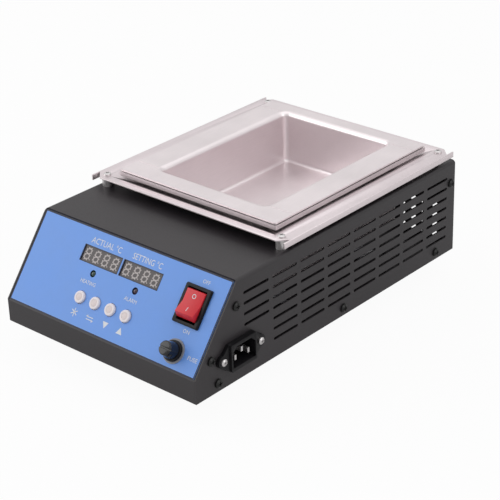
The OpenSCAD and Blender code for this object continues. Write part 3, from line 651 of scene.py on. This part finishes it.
# worn edges: body, and the radius in millimetres
softEdges = {
    "switch_housing": ("base", 0.35),
    "rocker": ("power_rocker", 0.4),
    "fuse_cap": ("fuse_closure", 0.3),
    "fuse_holder": ("base", 0.3),
    "inlet_body": ("base", 0.35),
    "drip_tray": ("base", 0.25),
}
softening = {
    "weld": 0.002,       # millimetres within which the triangles' corners are one
    "flatUpTo": 0.5,     # degrees between triangles of one face
    "sharpFrom": 35,     # degrees from which an edge is rounded
    "smoothUpTo": 30,
    "segments": 2,
}


def softened(nodeName, body, width):
    # a copy of the CAD piece with its hard edges rounded, which stands for it
    twin = copyOf(nodes[nodeName])
    twin.name = nodeName + "_soft"
    twin.data.name = twin.name
    pick(twin)
    bpy.ops.object.mode_set(mode="EDIT")
    bpy.ops.mesh.select_all(action="SELECT")
    bpy.ops.mesh.remove_doubles(threshold=mm(softening["weld"]))
    bpy.ops.mesh.dissolve_limited(angle_limit=math.radians(softening["flatUpTo"]))
    bpy.ops.object.mode_set(mode="OBJECT")
    edge = twin.modifiers.new("edge", "BEVEL")
    edge.width = mm(width)
    edge.segments = softening["segments"]
    edge.limit_method = "ANGLE"
    edge.angle_limit = math.radians(softening["sharpFrom"])
    bpy.ops.object.modifier_apply(modifier="edge")
    bpy.ops.object.shade_smooth_by_angle(angle=math.radians(softening["smoothUpTo"]))
    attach(twin, body)
    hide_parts(nodeName)


for nodeName, (body, width) in softEdges.items():
    softened(nodeName, body, width)
print("edges softened")

camera = {
    "place": (0.7801, -0.8489, 0.6294),
    "right": (0.7513, 0.6593, -0.0282),
    "up": (-0.2769, 0.3538, 0.8934),
    "lens": 116.8,
    "sensor": 36,
    "nearest": 0.05,
    "farthest": 30,
}
camData = bpy.data.cameras.new("viewCamera")
cam = bpy.data.objects.new("viewCamera", camData)
bpy.context.scene.collection.objects.link(cam)
camData.lens = camera["lens"]
camData.sensor_width = camera["sensor"]
camData.clip_start = camera["nearest"]
camData.clip_end = camera["farthest"]
right = Vector(camera["right"]).normalized()
up = Vector(camera["up"])
up = (up - right * up.dot(right)).normalized()
back = right.cross(up)
turn = Matrix((right, up, back)).transposed().to_4x4()
cam.matrix_world = Matrix.Translation(camera["place"]) @ turn
bpy.context.scene.camera = cam

# floor, lamps and the world about them
studio = {
    "floorSize": 14.0,
    "floorDrop": 0.0002,
    "floorColor": (0.9, 0.9, 0.9, 1),
    "floorRoughness": 0.9,
    "floorGlow": 0.95,
    "floorGlowInGloss": 0.25,
    "worldForGloss": 0.76,
    "worldForMatt": 0.33,
    "lampTarget": (0, 0, 0.05),
}
lamps = {   # place, size and power
    "topBox": ((0.0, 0.3, 1.6), (2.4, 2.0), 8.5),
    "leftBox": ((-1.5, -1.0, 1.0), (1.7, 1.7), 15.5),
    "rightBox": ((1.5, 0.2, 0.9), (1.0, 1.2), 5.0),
}
deselectAll()
bpy.ops.mesh.primitive_plane_add(size=studio["floorSize"], location=(0, 0, -studio["floorDrop"]))
floor = bpy.context.object
floor.name = "floor"
settle(floor)
floorMaterial, tree, shader = newMaterial("paleFloor")[:3]
shader.inputs["Base Color"].default_value = studio["floorColor"]
shader.inputs["Roughness"].default_value = studio["floorRoughness"]
rays = tree.nodes.new("ShaderNodeLightPath").outputs
glow = tree.nodes.new("ShaderNodeEmission")
glow.inputs["Color"].default_value = (1, 1, 1, 1)
glow.inputs["Strength"].default_value = 1.0
seen = mathNode(tree, "MAXIMUM", rays["Is Camera Ray"], rays["Is Transmission Ray"])
inView = mathNode(tree, "MULTIPLY", seen, studio["floorGlow"])
inGloss = mathNode(tree, "MULTIPLY", rays["Is Glossy Ray"], studio["floorGlowInGloss"])
mixShader = tree.nodes.new("ShaderNodeMixShader")
tree.links.new(mathNode(tree, "MAXIMUM", inView, inGloss), mixShader.inputs["Fac"])
tree.links.new(shader.outputs["BSDF"], mixShader.inputs[1])
tree.links.new(glow.outputs["Emission"], mixShader.inputs[2])
tree.links.new(mixShader.outputs["Shader"], tree.nodes["Material Output"].inputs["Surface"])
floor.data.materials.append(floorMaterial)

for name, (place, size, power) in lamps.items():
    data = bpy.data.lights.new(name, "AREA")
    data.shape = "RECTANGLE"
    data.size, data.size_y = size
    data.energy = power
    lamp = bpy.data.objects.new(name, data)
    bpy.context.scene.collection.objects.link(lamp)
    lamp.location = place
    lamp.rotation_mode = "QUATERNION"
    lamp.rotation_quaternion = (Vector(studio["lampTarget"]) - lamp.location).to_track_quat("-Z", "Y")

world = bpy.data.worlds.new("studioWorld")
bpy.context.scene.world = world
world.use_nodes = True
tree = world.node_tree
background = tree.nodes["Background"]
background.inputs["Color"].default_value = (1, 1, 1, 1)
rays = tree.nodes.new("ShaderNodeLightPath").outputs
seen = mathNode(tree, "MAXIMUM", rays["Is Camera Ray"], rays["Is Transmission Ray"])
litLevel = span(tree, rays["Is Glossy Ray"], studio["worldForMatt"], studio["worldForGloss"], 0.0, 1.0)
tree.links.new(blend(tree, "FLOAT", seen, litLevel, 1.0), background.inputs["Strength"])
bpy.context.scene.view_settings.view_transform = "Standard"
print("studio ready")
